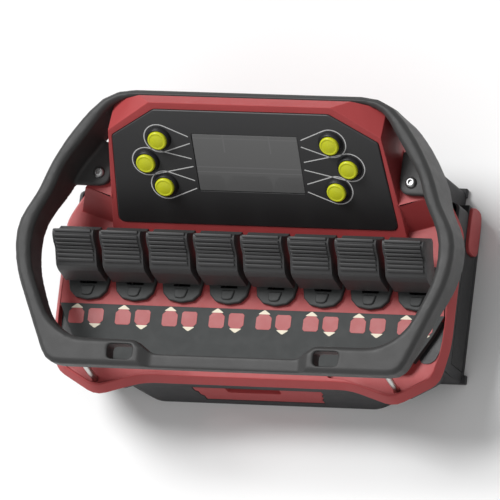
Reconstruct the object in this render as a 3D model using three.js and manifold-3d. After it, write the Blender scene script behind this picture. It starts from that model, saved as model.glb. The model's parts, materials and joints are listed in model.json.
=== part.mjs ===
// Belt-carried radio control station with eight paddle levers, in millimetres, +Z up.
//
// The station rests on its flat underside. X runs along the row of levers, +Y points away from
// the operator, and the deck under the levers is level. While the parts are made, Y = 0 is the
// front face of the lever necks. The last lines shift everything so that the origin is at the
// middle of the underside of the overall box.

import * as THREE from 'three';
import { mergeVertices } from 'three/addons/utils/BufferGeometryUtils.js';
import Module from 'manifold-3d';

const wasm = await Module();
wasm.setup();

// ---------------------------------------------------------------- driving dimensions

// Levels above the table
const base_height = 57; // top edge of the bottom housing
const rim_height = 8; // height of the sloped red rim
const seal_thickness = 1.2;
const seal_width = 4.5;
const boot_height = 4.4; // lever boot above the deck
const fit = 0.3; // gap kept between pieces that touch
const wall = 3; // housing wall

// Row of levers
const lever_count = 8;
const lever_pitch = 40;
const lever_width = 34.8;
const lever_reach = 49.5; // crest above the boot top
const lever_ribs = 8;
const rib_depth = 0.9;
const lever_gap = 4.2; // underside of the paddle above the boot
const pivot_y = 10;
const pivot_drop = 21; // shaft axis below the boot top
const shaft_diameter = 8;
const stem_width = 12;
const stem_thickness = 7;
const hub_diameter = 15;
const lever_swing = 12; // degrees each way

// Lever boots
const boot_front = 12.4; // in front of the lever neck
const boot_back = 24;
const boot_corner = 16;
const tongue_width = 11;
const tongue_height = 1.5;

// Plan of the red rim
const rim_half_width = 169.5;
const rim_front = 77; // middle of the front edge
const rim_back = 131;
const horn_half_spacing = 127;
const horn_reach = 89.2;
const rim_slope = 5; // how far the rim slopes inwards
const pocket_depth = 5.5; // sunk front corners of the deck

// Display block
const panel_angle = 44; // degrees from level
const panel_foot_y = 51.8; // bottom edge of the fascia
const panel_foot_rise = 7.5; // above the deck
const fascia_half_width = 119;
const fascia_half_width_top = 74.3;
const fascia_shoulder_half_width = 113;
const fascia_shoulder_height = 79.6; // along the panel
const fascia_height = 104.2;
const fascia_thickness = 2.4;
const fascia_border = 6.5; // red border round the fascia
const block_back_y = 138; // at its top
const block_back_lean = 6.5; // degrees, overhanging the rim
const block_back_drop = 8; // back top edge below the front top edge
const screen_width = 89.5;
const screen_height = 51.8;
const screen_foot = 31.4; // along the panel
const screen_thickness = 1.6;

// Push buttons
const cap_diameter = 16;
const cap_rise = 7;
const cap_travel = 1.5;
const bezel_diameter = 21;
const bezel_plug_diameter = 18.4;
const bezel_rise = 4.6;
const button_places = [
  [73, 78.2],
  [86, 56.9],
  [73, 35.8],
];

// Flanks beside the display block
const flank_half_width = 145.5; // front outer corner of the ledge
const flank_height = 90;
const flank_front_y = 75;

// Label plate on the deck
const label_top_y = -15.4;
const label_front_y = -62;
const label_half_width = 163.5;
const label_front_half_width = 137;
const label_thickness = 0.8;

// Guard frame
const guard_slope = 3.8; // degrees, rising towards the back
const guard_level = 127; // top face above the table at Y = 0
const guard_back_width = 7.5; // behind the display block
const guard_depth = 17; // front bar
const arm_depth = 31;
const guard_edge = 3; // rounding of its top edges
const guard_front_y = -78.5;
const guard_back_y = 146;
const strap_slot = { x: 87.3, y: -67, width: 21, height: 12, corner: 3 };
const guard_dip = 6; // how far the middle of the front bar is let down
const guard_dip_half_width = 72;
const tab_x = 132.6;
const tab_y = 86;
const tab_radius = 10;
const tab_thickness = 6;
const guard_screw_diameter = 5;
const rod_diameter = 5;
const rod_length = 62;
const rod_lean = 11; // degrees, leaning back
const rod_foot = { x: 128.3, y: -76 };

// Bottom housing
const base_half_width = 162;
const base_bulge_front_y = -46;
const base_bulge_back_y = 86;
const base_flare_height = 27; // where the side walls start to flare out
const base_flare = 8.8; // how far they flare
const base_front_half_width = 94;
const base_front_y = -78; // bottom edge of the front face
const base_front_lean = 7; // degrees
const base_shoulder = { x: 142, y: -55 };
const base_back_half_width = 126;
const base_back_y = 106;
const foot_reach = 3; // corner feet past the side walls
const foot_height = 5;

// Battery
const battery_half_width = 54.8;
const battery_step = 2.3;
const battery_steps = 2;
const battery_foot = 9;
const battery_height = 26;
const battery_depth = 62;

// Side module with the stop button
const module_thickness = 9;
const module_height = 34;
const stop_length = 38;
const stop_height = 25;
const stop_corner = 9;
const stop_rise = 2.5;
const stop_travel = 4;
const stop_y = 66;

// Inside
const board_thickness = 1.6;
const board_level = 14; // main board
const display_board_drop = 14; // below the panel face
const carrier_thickness = 3;
const housing_screw_diameter = 4;
const housing_screw_head = 7.5;

// ---------------------------------------------------------------- values worked out from them

const rim_bottom = base_height + seal_thickness + fit;
const deck_height = rim_bottom + rim_height;
const boot_top = deck_height + boot_height;
const pivot_height = boot_top - pivot_drop;
const panel_foot_height = deck_height + panel_foot_rise;
const lever_row = Array.from({ length: lever_count }, (_, i) => (i - (lever_count - 1) / 2) * lever_pitch);
const stop_level = foot_height + 2.5 + stop_height / 2;
const far = 600; // longer than anything in the object
const degrees = THREE.MathUtils.degToRad;

// ---------------------------------------------------------------- materials

const finish = {
  red: new THREE.MeshStandardMaterial({ color: '#b5484b', roughness: 0.5, metalness: 0 }),
  grey: new THREE.MeshStandardMaterial({ color: '#4a4a4a', roughness: 0.6, metalness: 0 }),
  dark: new THREE.MeshStandardMaterial({ color: '#333333', roughness: 0.65, metalness: 0 }),
  black: new THREE.MeshStandardMaterial({ color: '#1c1c1c', roughness: 0.7, metalness: 0 }),
  screen: new THREE.MeshStandardMaterial({ color: '#5a5a5a', roughness: 0.15, metalness: 0 }),
  yellow: new THREE.MeshStandardMaterial({ color: '#c8cc20', roughness: 0.4, metalness: 0 }),
  steel: new THREE.MeshStandardMaterial({ color: '#9a9a94', roughness: 0.3, metalness: 1 }),
  board: new THREE.MeshStandardMaterial({ color: '#1f5a35', roughness: 0.5, metalness: 0 }),
  brass: new THREE.MeshStandardMaterial({ color: '#b08a45', roughness: 0.35, metalness: 1 }),
};

// ---------------------------------------------------------------- shape helpers

// Turns a three.js geometry into a solid that can be joined and cut.
function solid(geometry, matrix) {
  const shape = geometry.index ? geometry.toNonIndexed() : geometry.clone();
  for (const name of Object.keys(shape.attributes)) {
    if (name !== 'position') shape.deleteAttribute(name);
  }
  if (matrix) shape.applyMatrix4(matrix);
  const merged = mergeVertices(shape, 1e-4);
  const mesh = new wasm.Mesh({
    numProp: 3,
    vertProperties: new Float32Array(merged.attributes.position.array),
    triVerts: new Uint32Array(merged.index.array),
  });
  mesh.merge();
  return new wasm.Manifold(mesh);
}

function geometryOf(manifold) {
  const mesh = manifold.getMesh();
  const geometry = new THREE.BufferGeometry();
  geometry.setAttribute('position', new THREE.BufferAttribute(new Float32Array(mesh.vertProperties), 3));
  geometry.setIndex(new THREE.BufferAttribute(new Uint32Array(mesh.triVerts), 1));
  return geometry;
}

const join = (first, ...others) => others.reduce((sum, other) => sum.add(other), first);
const cut = (first, ...others) => others.reduce((rest, other) => rest.subtract(other), first);
const shift = (x, y, z) => new THREE.Matrix4().makeTranslation(x, y, z);
const moved = (manifold, matrix) => manifold.transform(matrix.elements);

// A box from its lowest to its highest corner.
function box(low, high) {
  const size = high.map((value, i) => value - low[i]);
  const middle = high.map((value, i) => (value + low[i]) / 2);
  return solid(new THREE.BoxGeometry(...size), shift(...middle));
}

// A closed outline through corner points, each with an optional radius: [x, y, radius].
// A rounding takes at most half of the shorter edge beside it.
function outline(corners) {
  const shape = new THREE.Shape();
  corners.forEach(([x, y, wanted = 0], i) => {
    const corner = new THREE.Vector2(x, y);
    const before = new THREE.Vector2(...corners.at(i - 1).slice(0, 2));
    const after = new THREE.Vector2(...corners[(i + 1) % corners.length].slice(0, 2));
    const radius = Math.min(wanted, 0.48 * corner.distanceTo(before), 0.48 * corner.distanceTo(after));
    const start = corner.clone().add(before.sub(corner).setLength(radius));
    const end = corner.clone().add(after.sub(corner).setLength(radius));
    if (i === 0) shape.moveTo(start.x, start.y);
    else shape.lineTo(start.x, start.y);
    if (radius > 0) shape.quadraticCurveTo(x, y, end.x, end.y);
  });
  shape.closePath();
  return shape;
}

// The whole outline of a symmetric shape from the corners with X > 0, listed back to front.
const mirrored = (corners) => outline([...corners, ...corners.map(([x, ...rest]) => [-x, ...rest]).reverse()]);

function rectangle(width, height, radius) {
  const [x, y] = [width / 2, height / 2];
  return outline([[x, y, radius], [-x, y, radius], [-x, -y, radius], [x, -y, radius]]);
}

// A plan outline made solid between two levels.
function slab(shape, bottom, top, curveSegments = 3) {
  const options = { depth: top - bottom, bevelEnabled: false, curveSegments };
  return solid(new THREE.ExtrudeGeometry(shape, options), shift(0, 0, bottom));
}

// A plan outline whose top edge is drawn inwards by `slope` over `height`, or outwards where
// the slope is negative. More segments round it.
function slopedSlab(shape, bottom, top, slope, height, segments = 1, curveSegments = 3) {
  const depth = top - bottom;
  const options = {
    depth,
    bevelThickness: height,
    bevelSize: slope,
    bevelOffset: -slope,
    bevelSegments: segments,
    curveSegments,
  };
  const whole = solid(new THREE.ExtrudeGeometry(shape, options), shift(0, 0, top - height - depth));
  return whole.trimByPlane([0, 0, 1], bottom);
}

// A side profile, drawn as (Y, Z), made solid along X.
const side_view = new THREE.Matrix4().makeBasis(
  new THREE.Vector3(0, 1, 0),
  new THREE.Vector3(0, 0, 1),
  new THREE.Vector3(1, 0, 0),
);
function along_x(shape, from, to, curveSegments = 3) {
  const geometry = new THREE.ExtrudeGeometry(shape, { depth: to - from, bevelEnabled: false, curveSegments });
  return solid(geometry, shift(from, 0, 0).multiply(side_view));
}

// A round bar along X, Y or Z.
function bar(diameter, length, axis, middle, segments = 14) {
  const turn = new THREE.Matrix4();
  if (axis === 'x') turn.makeRotationZ(Math.PI / 2);
  if (axis === 'z') turn.makeRotationX(Math.PI / 2);
  const geometry = new THREE.CylinderGeometry(diameter / 2, diameter / 2, length, segments);
  return solid(geometry, shift(...middle).multiply(turn));
}

// A turned solid about Z from its (radius, height) profile.
function turned(profile, segments = 14) {
  const points = profile.map(([radius, height]) => new THREE.Vector2(radius, height));
  const upright = new THREE.Matrix4().makeRotationX(Math.PI / 2);
  return solid(new THREE.LatheGeometry(points, segments), upright);
}

// What is left of a block when each face, a plane [outward normal, point], has cut it. Every
// plane is moved inwards by `inset`, so that the same faces give the hollow inside a wall.
function faceted(faces, inset = 0) {
  let block = box([-far, -far, 0], [far, far, far]);
  for (const [normal, point] of faces) {
    const out = new THREE.Vector3(...normal).normalize();
    const offset = out.dot(new THREE.Vector3(...point)) - inset;
    block = block.trimByPlane([-out.x, -out.y, -out.z], -offset);
  }
  return block;
}

// The face through three points, facing away from the middle of the display block.
function through(...points) {
  const [a, b, c] = points.map((point) => new THREE.Vector3(...point));
  const normal = b.clone().sub(a).cross(c.clone().sub(a)).normalize();
  if (normal.dot(a.clone().sub(new THREE.Vector3(0, panel_foot_y, 0))) < 0) normal.negate();
  return [normal.toArray(), points[0]];
}

const both_sides = (faces) => faces.flatMap(([[nx, ny, nz], [x, y, z]]) => [
  [[nx, ny, nz], [x, y, z]],
  [[-nx, ny, nz], [-x, y, z]],
]);

// ---------------------------------------------------------------- the assembly

const station = new THREE.Group();
const panel = new THREE.Group(); // its XY plane is the front face of the display block
panel.position.set(0, panel_foot_y, panel_foot_height);
panel.rotation.x = degrees(panel_angle);
panel.updateMatrix();
const guard_group = new THREE.Group(); // its XY plane is the top face of the guard
guard_group.position.set(0, 0, guard_level);
guard_group.rotation.x = degrees(guard_slope);
guard_group.updateMatrix();
station.add(panel, guard_group);

function add(name, manifold, material, parent = station) {
  const mesh = new THREE.Mesh(geometryOf(manifold), material);
  mesh.name = name;
  parent.add(mesh);
  return mesh;
}

const in_panel = (manifold) => moved(manifold, panel.matrix);
const in_guard = (manifold) => moved(manifold, guard_group.matrix);

// Corners of the red rim with X > 0, from back to front.
const rim_corners = [
  [rim_half_width - 57.5, rim_back, 10],
  [rim_half_width - 39.5, 116, 6],
  [rim_half_width - 30.5, 105, 8],
  [rim_half_width - 6.5, 67, 8],
  [rim_half_width, 54, 6],
  [rim_half_width, -40, 12],
  [rim_half_width - 6.5, -69, 8],
  [horn_half_spacing, -horn_reach, 9],
  [88, -rim_front, 10],
];
const rim_outline = mirrored(rim_corners);
const drawnIn = (corners, by) => corners.map(([x, y, radius]) => [x - by, y - Math.sign(y) * by, radius]);

// Display block: its front face is the panel plane, and the top corners are cut off aslant.
const panel_normal = new THREE.Vector3(0, 0, 1).transformDirection(panel.matrix);
const on_panel = (x, y) => new THREE.Vector3(x, y, 0).applyMatrix4(panel.matrix).toArray();
const block_top = on_panel(0, fascia_height + fascia_border);
const shoulder = on_panel(fascia_shoulder_half_width + fascia_border, fascia_shoulder_height + 2);
const corner_top = on_panel(fascia_half_width_top + 3, fascia_height + fascia_border);
const back_corner = [117, block_back_y, shoulder[2] - 6];
const side_slope = 7 / (shoulder[2] - deck_height); // the block's sides lean in towards the top
const block_faces = [
  [panel_normal.toArray(), on_panel(0, 0)],
  [[0, block_back_drop / (block_back_y - block_top[1]), 1], block_top],
  [[0, 1, -Math.tan(degrees(block_back_lean))], back_corner],
  ...both_sides([
    [[1, 0.04, side_slope], [fascia_half_width + fascia_border, panel_foot_y, deck_height]],
    through(shoulder, corner_top, back_corner),
    through(back_corner, [112 - rim_slope, rim_back - rim_slope, deck_height], [130 - rim_slope, 116 - rim_slope, deck_height]),
  ]),
];

// Flanks: a level ledge that carries the guard tab, with a steep front set aslant.
const ledge_front = [flank_half_width, flank_front_y, flank_height];
const flank_foot = [flank_half_width + 9, flank_front_y - 14, deck_height];
const flank_faces = [
  [[0, 0, 1], ledge_front],
  [[-1, -0.04, -side_slope], [fascia_half_width + fascia_border - 1, panel_foot_y, deck_height]],
  [[0, 1, 0], [0, block_back_y - 12, 0]],
  through(ledge_front, flank_foot, [ledge_front[0] - 27, ledge_front[1] - 8, flank_height]),
  through(ledge_front, flank_foot, [ledge_front[0] - 24, ledge_front[1] + 38, flank_height]),
];

// Both flanks, kept inside the top edge of the rim.
function flanks(inset) {
  const right = faceted(flank_faces, inset);
  const plan = slab(mirrored(drawnIn(rim_corners, rim_slope)), 0, far);
  return join(right, right.mirror([1, 0, 0])).intersect(plan);
}

// Label plate outline, from its top edge round the slanted corners to the front.
const label_corners = (inset = 0) => [
  [label_half_width - inset, label_top_y - inset, 0.5],
  [155.5 - inset, -32, 4],
  [label_front_half_width - inset, label_front_y + inset, 5],
];

// Where the front corners of the deck are sunk, between the label plate and the rim.
function pocket() {
  const outer = slab(
    mirrored([
      [rim_half_width - rim_slope - 1, label_top_y - 2, 1],
      [rim_half_width - rim_slope - 1, -42, 10],
      [157.5, -65, 8],
      [horn_half_spacing, -horn_reach + 8, 6],
      [84, -rim_front + 7.5, 6],
      [70, -rim_front + 8, 3],
      [70, -50, 2],
    ]),
    deck_height - pocket_depth,
    deck_height + 1,
  );
  const plateau = slab(mirrored(label_corners(label_thickness + fit)), 0, far);
  const middle = box([-70, -far, 0], [70, far, far]);
  return cut(outer, plateau, middle);
}

function buttonSites() {
  return button_places.flatMap(([x, y]) => [[-x, y], [x, y]]);
}

// ---------------------------------------------------------------- housings

const boot_hole = { half_width: 9, front: -1.5, back: boot_back - 2 };
const housing_screw_sites = [[-131, 90], [131, 90], [-122, -40], [122, -40]];

function topHousing() {
  const rim = slopedSlab(rim_outline, rim_bottom, deck_height, rim_slope, rim_height);
  const block = faceted(block_faces).trimByPlane([0, 0, 1], rim_bottom);
  const shell = join(rim, block, flanks(0).trimByPlane([0, 0, 1], rim_bottom));

  // Hollow: under the deck, and behind the panel
  const under_deck = box(
    [-rim_half_width + 22, -48, rim_bottom - 1],
    [rim_half_width - 22, 104, deck_height - wall],
  ).intersect(slab(mirrored(drawnIn(rim_corners, rim_slope + wall)), 0, far));
  const behind_panel = faceted(block_faces, wall + fascia_thickness).trimByPlane([0, 0, 1], deck_height - wall - 1);
  const bosses = housing_screw_sites.map(([x, y]) => bar(9, rim_height + 2, 'z', [x, y, rim_bottom + rim_height / 2]));
  const screw_holes = housing_screw_sites.map(([x, y]) =>
    bar(housing_screw_diameter + 2 * fit, 2 * (rim_height - 2), 'z', [x, y, rim_bottom]),
  );

  // Openings for the fascia, the screen, the buttons and the levers
  const recess = slab(fasciaOutline(fit), -fascia_thickness - fit, 20);
  const window = slab(rectangle(screen_width - 8, screen_height - 8, 2), -20, 5);
  const window_place = shift(0, screen_foot + screen_height / 2, 0);
  const button_holes = buttonSites().map(([x, y]) => bar(bezel_plug_diameter + 2 * fit, 40, 'z', [x, y, -5]));
  const board_posts = [[-55, 30], [55, 30], [-55, 80], [55, 80]].map(([x, y]) =>
    bar(6, display_board_drop - wall, 'z', [x, y, -(display_board_drop + wall) / 2 + fit], 8),
  );
  const lever_slots = lever_row.map((x) =>
    box(
      [x - boot_hole.half_width, boot_hole.front, rim_bottom - 1],
      [x + boot_hole.half_width, boot_hole.back, deck_height + 5],
    ),
  );
  const tab_screws = [-tab_x, tab_x].map((x) => bar(guard_screw_diameter + 2 * fit, 20, 'z', [x, tab_y, flank_height]));
  const rod_sockets = [-1, 1].map((side) => moved(rodSolid(2 * fit), rodMatrix(side)));

  const housing = cut(
    join(cut(shell, under_deck), ...bosses.map((boss) => boss.intersect(under_deck))),
    behind_panel,
    pocket(),
    in_panel(recess),
    in_panel(moved(window, window_place)),
    ...button_holes.map(in_panel),
    ...lever_slots,
    ...tab_screws,
    ...rod_sockets,
    ...screw_holes,
  ).trimByPlane([0, 0, 1], rim_bottom);
  return join(housing, ...board_posts.map(in_panel));
}

function fasciaOutline(gap = 0) {
  return mirrored([
    [fascia_half_width_top + gap / 2, fascia_height + gap, 2],
    [fascia_shoulder_half_width + gap, fascia_shoulder_height + gap / 2, 2],
    [fascia_half_width + gap, -gap, 6],
  ]);
}

// Plan of the bottom housing near the table; `side` is the half width of its side walls.
const base_corners = (inset, side) => [
  [base_back_half_width - inset, base_back_y - inset, 4],
  [147 - inset, 103 - inset, 3],
  [146 - inset, base_bulge_back_y, 2],
  [side - inset, base_bulge_back_y - 7, 3],
  [side - inset, base_bulge_front_y, 3],
  [side - inset, base_shoulder.y + inset, 3],
  [base_shoulder.x - inset / 2, base_shoulder.y + inset, 2],
  [base_front_half_width, base_front_y + inset, 6],
];

// The bottom housing as a solid block, shrunk by `inset` all round.
function baseBlock(inset) {
  const lower = slab(mirrored(base_corners(inset, base_half_width)), inset, base_height + 1);
  // The upper part flares out to meet the rim, and the front leans back
  const flare_height = base_height - base_flare_height;
  const flare_shape = mirrored(drawnIn(rim_corners, 2 + inset));
  const flare_slab = new THREE.ExtrudeGeometry(flare_shape, {
    depth: far,
    bevelThickness: flare_height,
    bevelSize: base_flare,
    bevelOffset: -base_flare,
    bevelSegments: 1,
    curveSegments: 3,
  });
  const upper = solid(flare_slab, shift(0, 0, base_height)).trimByPlane([0, 0, -1], -(base_height + 1));
  const front_faces = [
    [[0, -1, Math.tan(degrees(base_front_lean))], [0, base_front_y, 0]],
    [[0, 0, 1], [0, 0, inset ? base_height + 5 : base_height]],
  ];
  return join(lower, upper).intersect(faceted(front_faces, inset ? inset : 0));
}

// Battery outline seen from the front: its sides step in towards the bottom.
function batteryOutline(gap = 0) {
  const corners = [[battery_half_width + gap, battery_height + gap]];
  const rise = battery_height / (battery_steps + 1);
  for (let i = 0; i < battery_steps; i += 1) {
    const x = battery_half_width + gap - i * battery_step;
    const y = battery_height - (i + 1) * rise;
    corners.push([x, y + 1.2], [x - battery_step, y - 1.2]);
  }
  corners.push([battery_half_width + gap - battery_steps * battery_step, -gap]);
  return mirrored(corners);
}

// Front view drawn as (X, Z) and made solid towards the back.
const front_view = new THREE.Matrix4().makeRotationX(Math.PI / 2);
function batteryBlock(gap, depth) {
  const geometry = new THREE.ExtrudeGeometry(batteryOutline(gap), { depth, bevelEnabled: false });
  const place = shift(0, base_front_y + depth, battery_foot).multiply(front_view);
  return solid(geometry, place);
}

const front_plane = (inset) => [[0, -1, Math.tan(degrees(base_front_lean))], [0, base_front_y + inset, 0]];

function bottomHousing() {
  const feet = [-1, 1].flatMap((side) => [
    box(
      [Math.min(side * 142, side * (base_half_width + foot_reach)), base_shoulder.y, 0],
      [Math.max(side * 142, side * (base_half_width + foot_reach)), base_shoulder.y + 7, foot_height],
    ),
    box(
      [Math.min(side * 120, side * 148), 99, 0],
      [Math.max(side * 120, side * 148), 106, foot_height],
    ),
  ]);
  const cavity = baseBlock(wall).trimByPlane([0, 0, 1], wall);
  const bay_wall = batteryBlock(wall, battery_depth + wall + fit);
  const bay = batteryBlock(fit, battery_depth + fit);
  const bay_mouth = batteryBlock(fit, 30);
  const module_seat = box(
    [base_half_width - module_thickness - fit, base_bulge_front_y - fit, foot_height + 1 - fit],
    [far, base_bulge_back_y + fit, module_height + fit],
  );
  const module_wall = box(
    [base_half_width - module_thickness - fit - wall, base_bulge_front_y - fit - wall, 1],
    [base_half_width - module_thickness - fit, base_bulge_back_y - 8, module_height + fit + wall],
  );
  const stem_hole = bar(14, 40, 'x', [base_half_width - 10, stop_y, stop_level]);
  const screw_posts = housing_screw_sites.map(([x, y]) => bar(10, base_height - 6, 'z', [x, y, base_height / 2 - 2]));
  const screw_holes = housing_screw_sites.flatMap(([x, y]) => [
    bar(housing_screw_diameter + 2 * fit, 3 * base_height, 'z', [x, y, 0]),
    bar(housing_screw_head + 2 * fit, 16, 'z', [x, y, 0]),
  ]);
  const board_posts = [[-108, 8], [108, 8], [-108, 88], [108, 88]].map(([x, y]) =>
    bar(7, board_level - fit - 1, 'z', [x, y, (board_level - fit + 1) / 2], 10),
  );
  const carrier_underside = pivot_height - hub_diameter / 2 - 2 - carrier_thickness;
  const carrier_posts = [-135, 135].map((x) =>
    bar(10, carrier_underside - fit - 1, 'z', [x, pivot_y, (carrier_underside - fit + 1) / 2], 12),
  );
  const body = join(cut(baseBlock(0), cavity), ...feet, ...board_posts, ...carrier_posts);
  const inner = baseBlock(wall / 2);
  const walls = [bay_wall.intersect(inner), module_wall.intersect(baseBlock(1)), ...screw_posts];
  return cut(join(body, ...walls), bay, moved(bay_mouth, shift(0, -10, 0)), module_seat, stem_hole, ...screw_holes)
    .trimByPlane([0, 0, -1], -base_height);
}

function housingSeal() {
  const band = slab(rim_outline, base_height + fit / 2, base_height + fit / 2 + seal_thickness);
  const inner = mirrored(drawnIn(rim_corners, seal_width + 1));
  const outer = mirrored(drawnIn(rim_corners, 1));
  return cut(
    band.intersect(slab(outer, 0, far)),
    slab(inner, 0, far),
    ...[-1, 1].map((side) => moved(rodSolid(4 * fit), rodMatrix(side))),
  );
}

// ---------------------------------------------------------------- guard and rods

// Corners of the guard's outer and inner edges with X > 0, from back to front.
const guard_outer = [
  [119, guard_back_y, 24],
  [149, 108, 16],
  [163, 82, 16],
  [170, 62, 18],
  [187, 34, 24],
  [184, 0, 30],
  [160, -56, 18],
  [150, guard_front_y, 16],
];
const guard_inner = [
  [113, guard_back_y - guard_back_width, 14],
  [135, 106, 14],
  [151, 83, 14],
  [157, 63, 14],
  [173, 34, 22],
  [172, 2, 30],
  [152, -42, 20],
  [130, -56.5, 12],
  [76, -56.9, 3],
  [62, -67.3, 6],
];

function rodMatrix(side) {
  return new THREE.Matrix4()
    .makeTranslation(side * rod_foot.x, rod_foot.y, deck_height - pocket_depth - 1.5)
    .multiply(new THREE.Matrix4().makeRotationX(-degrees(rod_lean)));
}

const rodSolid = (extra = 0) => bar(rod_diameter + extra, rod_length + extra, 'z', [0, 0, rod_length / 2], 14);

// The space under the guard, as a side profile: the arms hang lower at the tabs.
function underGuard() {
  const profile = outline([
    [-far, -far],
    [far, -far],
    [far, -guard_depth],
    [136, -guard_depth, 6],
    [126, -44, 10],
    [78, -46, 10],
    [52, -arm_depth - 2, 12],
    [5, -arm_depth, 20],
    [-42, -guard_depth, 20],
    [-far, -guard_depth],
  ]);
  return along_x(profile, -far, far, 2);
}

function guardFrame() {
  const ring = cut(
    slopedSlab(mirrored(guard_outer), -60, 0, guard_edge, guard_edge),
    slopedSlab(mirrored(guard_inner), -70, 0, -guard_edge, guard_edge),
    underGuard(),
  );
  const dip_profile = outline([
    [guard_dip_half_width, 10],
    [guard_dip_half_width, 0.1],
    [guard_dip_half_width - 9, -guard_dip, 2],
    [-guard_dip_half_width + 9, -guard_dip, 2],
    [-guard_dip_half_width, 0.1],
    [-guard_dip_half_width, 10],
  ]);
  const dip = solid(
    new THREE.ExtrudeGeometry(dip_profile, { depth: 40, bevelEnabled: false }),
    shift(0, -50, 0).multiply(front_view),
  );
  const slots = [-1, 1].map((side) =>
    moved(
      slab(rectangle(strap_slot.width, strap_slot.height, strap_slot.corner), -60, 10),
      shift(side * strap_slot.x, strap_slot.y, 0),
    ),
  );
  const frame = in_guard(cut(ring, dip, ...slots));

  // Tabs that reach in to the flank ledges
  const tab_bottom = flank_height + fit;
  const tabs = [-1, 1].map((side) => {
    const tab = outline([
      [side * (tab_x - tab_radius), tab_y - tab_radius, tab_radius],
      [side * (tab_x + 22), tab_y - tab_radius],
      [side * (tab_x + 6), tab_y + 26],
      [side * (tab_x - tab_radius), tab_y + 26, 3],
    ]);
    return slab(tab, tab_bottom, tab_bottom + tab_thickness);
  });
  const screw_holes = [-tab_x, tab_x].map((x) => bar(guard_screw_diameter + 2 * fit, 40, 'z', [x, tab_y, tab_bottom]));
  const rod_holes = [-1, 1].map((side) => moved(rodSolid(2 * fit), rodMatrix(side)));
  const housing = join(
    faceted(block_faces, -fit).trimByPlane([0, 0, 1], rim_bottom),
    flanks(-fit).trimByPlane([0, 0, 1], rim_bottom),
  );
  return cut(join(frame, ...tabs), housing, ...screw_holes, ...rod_holes);
}

const guardScrew = () => turned([
  [0, -9],
  [guard_screw_diameter / 2, -9],
  [guard_screw_diameter / 2, tab_thickness + 2 * fit],
  [guard_screw_diameter * 0.95, tab_thickness + 2 * fit],
  [guard_screw_diameter * 0.85, tab_thickness + 2.6],
  [1.6, tab_thickness + 3],
  [1.6, tab_thickness + 1.4],
  [0, tab_thickness + 1.4],
], 12);

// ---------------------------------------------------------------- panel

function displayFascia() {
  const window = moved(
    slab(rectangle(screen_width + 2 * fit, screen_height + 2 * fit, 1.5), -10, 10),
    shift(0, screen_foot + screen_height / 2, 0),
  );
  const holes = buttonSites().map(([x, y]) => bar(bezel_plug_diameter + 2 * fit, 20, 'z', [x, y, 0]));
  const plate = slopedSlab(fasciaOutline(), -fascia_thickness, 0.8, 0.6, 0.6);
  return cut(plate, window, ...holes);
}

const displayScreen = () => moved(
  slopedSlab(rectangle(screen_width, screen_height, 1.2), -screen_thickness, 0.5, 0.4, 0.3),
  shift(0, screen_foot + screen_height / 2, 0),
);

function buttonBezel() {
  const hole = cap_diameter / 2 + fit;
  const plug = bezel_plug_diameter / 2;
  return turned([
    [hole - 1.6, -5],
    [plug, -5],
    [plug, 0.8 + fit],
    [bezel_diameter / 2, 0.8 + fit],
    [bezel_diameter / 2 - 0.6, 2.6],
    [hole + 1, bezel_rise],
    [hole, bezel_rise],
    [hole, cap_rise - 5.4 - cap_travel],
    [hole - 1.6, cap_rise - 5.4 - cap_travel],
    [hole - 1.6, -5],
  ]);
}

function buttonCap() {
  const radius = cap_diameter / 2;
  return turned([
    [0, -7],
    [3, -7],
    [3, cap_rise - 5],
    [radius, cap_rise - 5],
    [radius, cap_rise - 1.4],
    [radius - 0.8, cap_rise - 0.4],
    [radius - 2.4, cap_rise - 0.3],
    [radius - 3.2, cap_rise - 0.5],
    [radius - 5.4, cap_rise],
    [0, cap_rise + 0.1],
  ]);
}

function displayBoard() {
  const board = box([-84, 26, -display_board_drop - board_thickness], [84, 84, -display_board_drop]);
  const module = box([-44, screen_foot, -display_board_drop - 0.5], [44, screen_foot + screen_height, -8]);
  return join(board, module);
}

// ---------------------------------------------------------------- levers

// Paddle side profile, as (Y, Z) above the boot top: neck, ribbed face, crest and back.
function leverProfile() {
  const face = [[4.4, 26], [7, 31.9], [11.6, 34.6], [19.5, 38.9], [23.6, 45], [28.2, 49.2]];
  const corners = [
    [9.5, lever_gap],
    [2.2, lever_gap],
    [0.6, lever_gap + 2],
    [2.3, 13.5],
  ];
  corners.push(...ribbed(face, lever_ribs));
  corners.push([31.4, lever_reach], [33, lever_reach - 1.4]);
  corners.push(...ribbed([[34.2, 43], [37, 34.5], [40, 31]], 2));
  corners.push([38, 27], [27, 22], [18, 16], [13.4, 11]);
  return outline(corners);
}

// A line of ribs along a polyline: each groove is cut square to it.
function ribbed(line, count) {
  const path = new THREE.CurvePath();
  for (let i = 1; i < line.length; i += 1) {
    path.add(new THREE.LineCurve(new THREE.Vector2(...line[i - 1]), new THREE.Vector2(...line[i])));
  }
  const corners = [];
  for (let i = 0; i < count; i += 1) {
    for (const [share, depth] of [[0.1, 0], [0.65, 0], [0.82, 1]]) {
      const at = (i + share) / count;
      const point = path.getPointAt(at);
      const along = path.getTangentAt(at);
      const inward = new THREE.Vector2(along.y, -along.x).multiplyScalar(depth * rib_depth);
      corners.push([point.x + inward.x, point.y + inward.y]);
    }
  }
  return corners;
}

// A lever about its own pivot: paddle, stem and the hub on the shaft.
function lever() {
  const paddle = moved(
    along_x(leverProfile(), -lever_width / 2, lever_width / 2),
    shift(0, -pivot_y, pivot_drop),
  );
  const stem = box(
    [-stem_width / 2, -stem_thickness / 2, 0],
    [stem_width / 2, stem_thickness / 2, pivot_drop + lever_gap + 4],
  );
  const hub = bar(hub_diameter, stem_width, 'x', [0, 0, 0], 16);
  return cut(join(paddle, stem, hub), bar(shaft_diameter + 2 * fit, 2 * stem_width, 'x', [0, 0, 0], 12));
}

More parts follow.
